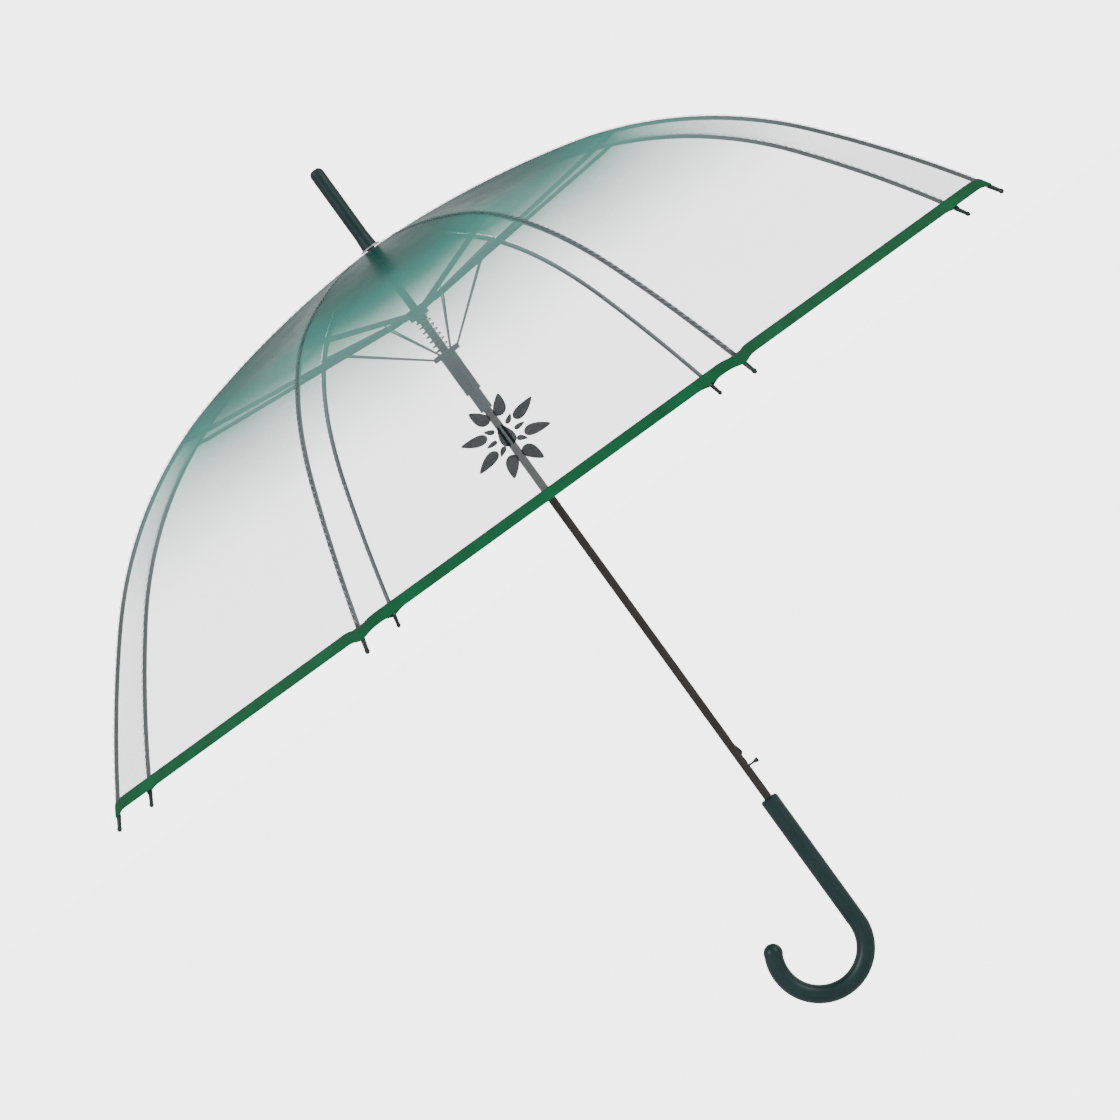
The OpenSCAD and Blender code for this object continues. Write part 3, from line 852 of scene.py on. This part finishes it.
def makePrint(rib, side):
    build = bmesh.new()

    def stamp(outline):
        middle = [sum(p[k] for p in outline) / len(outline) for k in (0, 1)]
        corners = []
        for aside, along in [middle, *outline]:
            length = rosette["centre"] - along
            across = 1 - abs(aside) / halfWidth(length)
            corners.append(build.verts.new(onGore(rib, side, length, across, film - rosette["lift"])))
        for k in range(1, len(corners)):
            face = build.faces.new([corners[0], corners[k], corners[k % len(outline) + 1]])
            face.smooth = True

    # Stamps an outline turned by an angle and set at a share of the ring
    def stampRound(outline, angle, share):
        c, s = math.cos(angle), math.sin(angle)
        middle = (share * rosette["ring"][0] * s, share * rosette["ring"][1] * c)
        stamp([(middle[0] + x * c + y * s, middle[1] - x * s + y * c) for x, y in outline])

    dropSteps, seedSteps, heartSteps = rosette["steps"]
    between = math.pi / rosette["drops"]
    for k in range(rosette["drops"]):
        stampRound(dropOutline(*rosette["drop"], dropSteps), between * (k + 0.5), 1.0)
    for k in range(rosette["seeds"]):
        stampRound(dropOutline(*rosette["seed"], seedSteps), between * (k + 1), rosette["seedRing"])
    heart = dropOutline(*rosette["heart"], heartSteps)
    stamp([(x + rosette["heartGap"], y) for x, y in heart if x >= -1e-9])
    bmesh.ops.recalc_face_normals(build, faces=build.faces)
    outward = outwardAt(rib, rosette["centre"])
    for face in build.faces:
        face.normal_update()
        if face.normal.dot(outward) < 0:
            face.normal_flip()
    mesh = bpy.data.meshes.new(f"print_{sideNames[side]}")
    build.to_mesh(mesh)
    build.free()
    return newPiece(mesh.name, mesh, materials["print_ink"])


printGores = {(6, 1), (7, -1)}
welds = {
    "inner": (seam["top"], rivetLength - seam["rivetGap"]),
    "outer": (rivetLength + seam["rivetGap"], ribLength - seam["rimGap"]),
}
for rib in ribNumbers:
    crown = makeCrown(rib)
    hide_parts("canopy")
    declareFilm("crown")
    for where, (first, last) in welds.items():
        strip = makeWeldStrip(f"weld_{where}_{rib}", rib, first, last)
        crimps = makeCrimps(f"crimps_{where}_{rib}", rib, first + seam["clear"], last - seam["clear"])
        for piece in (strip, crimps):
            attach(piece, f"{where}_rib_{rib}")
    for side in (1, -1):
        for label in ("inner", "shoulder", "skirt"):
            piece = makeFilmPart(label, rib, side)
            foldAway(piece, gorePart[label], rib, side)
            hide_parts("canopy")
            if label == "skirt":
                tape = makeBinding(rib, side)
                stitches = makeStitches(f"stitches_{rib}_{sideNames[side]}", rib, side)
                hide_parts("edge_binding")
                slots = {tape: "binding_tape", stitches: "binding_tape"}
                if (rib, side) in printGores:
                    slots[makePrint(rib, side)] = "clear_film"
                for extra, slot in slots.items():
                    foldAway(extra, gorePart[label], rib, side)
            declareFilm(label)
print("canopy made")


spring = {
    "turns": 7.0,
    "wire": 0.00055,  # half its thickness
    "steps": 26,  # along each turn
    "wireSteps": 8,
    "keep": 0.12,  # share of its height left when the umbrella is closed
}


# A closed tube along a coil that starts at the origin and rises along Z
def makeSpringTree():
    tree, source, sink = newGroup("coilSpring", "GeometryNodeTree", [
        ("Geometry", "NodeSocketGeometry", None),
        ("Turns", "NodeSocketFloat", 7.0),
        ("Radius", "NodeSocketFloat", 0.005),
        ("Height", "NodeSocketFloat", 0.03),
        ("Wire", "NodeSocketFloat", 0.0005),
        ("Material", "NodeSocketMaterial", None),
    ], [("Geometry", "NodeSocketGeometry")])
    coil = addNode(tree, "GeometryNodeCurveSpiral", {
        "Resolution": spring["steps"], "Rotations": (source, "Turns"), "Start Radius": (source, "Radius"),
        "End Radius": (source, "Radius"), "Height": (source, "Height")})
    wire = addNode(tree, "GeometryNodeCurvePrimitiveCircle", {
        "Resolution": spring["wireSteps"], "Radius": (source, "Wire")})
    tube = addNode(tree, "GeometryNodeCurveToMesh", {
        "Curve": (coil, "Curve"), "Profile Curve": (wire, "Curve"), "Fill Caps": True})
    real = addNode(tree, "GeometryNodeRealizeInstances", {"Geometry": (tube, "Mesh")})
    painted = addNode(tree, "GeometryNodeSetMaterial", {"Geometry": (real, "Geometry"),
                                                        "Material": (source, "Material")})
    feed(sink, {"Geometry": (painted, "Geometry")})
    return tree


low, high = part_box("coil_spring")
coil = bakeTree("runner_spring", bpy.data.meshes.new("spring_seed"), makeSpringTree(), {
    "Turns": spring["turns"], "Radius": (high.x - low.x) / 2 - spring["wire"],
    "Height": high.z - low.z - 2 * spring["wire"], "Wire": spring["wire"],
    "Material": materials["spring_steel"]})
coil.data.transform(Matrix.Translation((0, 0, low.z + spring["wire"])))
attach(coil, "slider")
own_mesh(coil)
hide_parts("coil_spring")
print("spring made")


studio = {
    "camera": (0.0, -4.9, 0.388),
    "aim": (-0.0255, 0.0, 0.340),
    "roll": 35.9,  # degrees, the lean of the shaft in the view
    "lens": 181.0,
    "sensor": 36.0,
    "backdrop": 4.6,  # brightness of floor and world as the camera sees them
    "light": 0.75,  # brightness of the world as the surfaces see it
    "floorShare": 0.82,  # of the backdrop, since the lamps add to the floor
    "floorGrey": 0.8,
    "floorRough": 0.9,
    "floorRadius": 60.0,
    "floorGap": 0.05,  # below the crook
}
lamps = {
    "key_light": {"place": (-2.2, -2.6, 2.6), "aim": (0, 0, 0.35), "size": 1.6, "power": 75},
    "fill_light": {"place": (2.8, -1.8, 1.6), "aim": (0, 0, 0.35), "size": 1.8, "power": 38},
    "back_light": {"place": (1.8, 2.4, 0.2), "aim": (0, 0, 0.3), "size": 1.6, "power": 14},
}


# Placement of a camera or lamp at a place, looking at a target, with up towards its top
def aimed(place, target, up):
    forward = (Vector(target) - Vector(place)).normalized()
    right = forward.cross(Vector(up)).normalized()
    above = right.cross(forward)
    turn = Matrix((right, above, -forward)).transposed()
    return Matrix.Translation(place) @ turn.to_4x4()


cameraData = bpy.data.cameras.new("studio_camera")
cameraData.lens = studio["lens"]
cameraData.sensor_width = studio["sensor"]
camera = bpy.data.objects.new("studio_camera", cameraData)
roll = math.radians(studio["roll"])
camera.matrix_world = aimed(studio["camera"], studio["aim"], (math.sin(roll), 0, math.cos(roll)))
bpy.context.scene.collection.objects.link(camera)
bpy.context.scene.camera = camera

for name, lamp in lamps.items():
    lampData = bpy.data.lights.new(name, "AREA")
    lampData.size = lamp["size"]
    lampData.energy = lamp["power"]
    light = bpy.data.objects.new(name, lampData)
    light.matrix_world = aimed(lamp["place"], lamp["aim"], (0, 0, 1))
    bpy.context.scene.collection.objects.link(light)

world = bpy.data.worlds.new("studio_world")
bpy.context.scene.world = world
world.use_nodes = True
world.node_tree.nodes.clear()


# A brightness that only the camera's own rays see, with another for all other rays
def addGlow(tree, forCamera, forOthers):
    seen = addNode(tree, "ShaderNodeLightPath")
    return addNode(tree, "ShaderNodeMapRange", {
        "Value": (seen, "Is Camera Ray"), "To Min": forOthers, "To Max": forCamera})


glow = addGlow(world.node_tree, studio["backdrop"], studio["light"])
sky = addNode(world.node_tree, "ShaderNodeBackground", {
    "Color": (1, 1, 1, 1), "Strength": (glow, "Result")})
addNode(world.node_tree, "ShaderNodeOutputWorld", {"Surface": (sky, "Background")})

floorMaterial, floorTree, floorShader = newMaterial("studio_floor")
floorGlow = addGlow(floorTree, studio["backdrop"] * studio["floorShare"], 0.0)
feed(floorShader, {
    "Base Color": (*[studio["floorGrey"]] * 3, 1), "Roughness": studio["floorRough"],
    "Emission Color": (1, 1, 1, 1), "Emission Strength": (floorGlow, "Result")})
floorBuild = bmesh.new()
bmesh.ops.create_circle(floorBuild, cap_ends=True, segments=96, radius=studio["floorRadius"])
floorMesh = bpy.data.meshes.new("studio_floor")
floorBuild.to_mesh(floorMesh)
floorBuild.free()
floorMesh.transform(Matrix.Translation((0, 0, cadBox[0][2] - studio["floorGap"])))
newPiece("studio_floor", floorMesh, floorMaterial)
print("studio made")
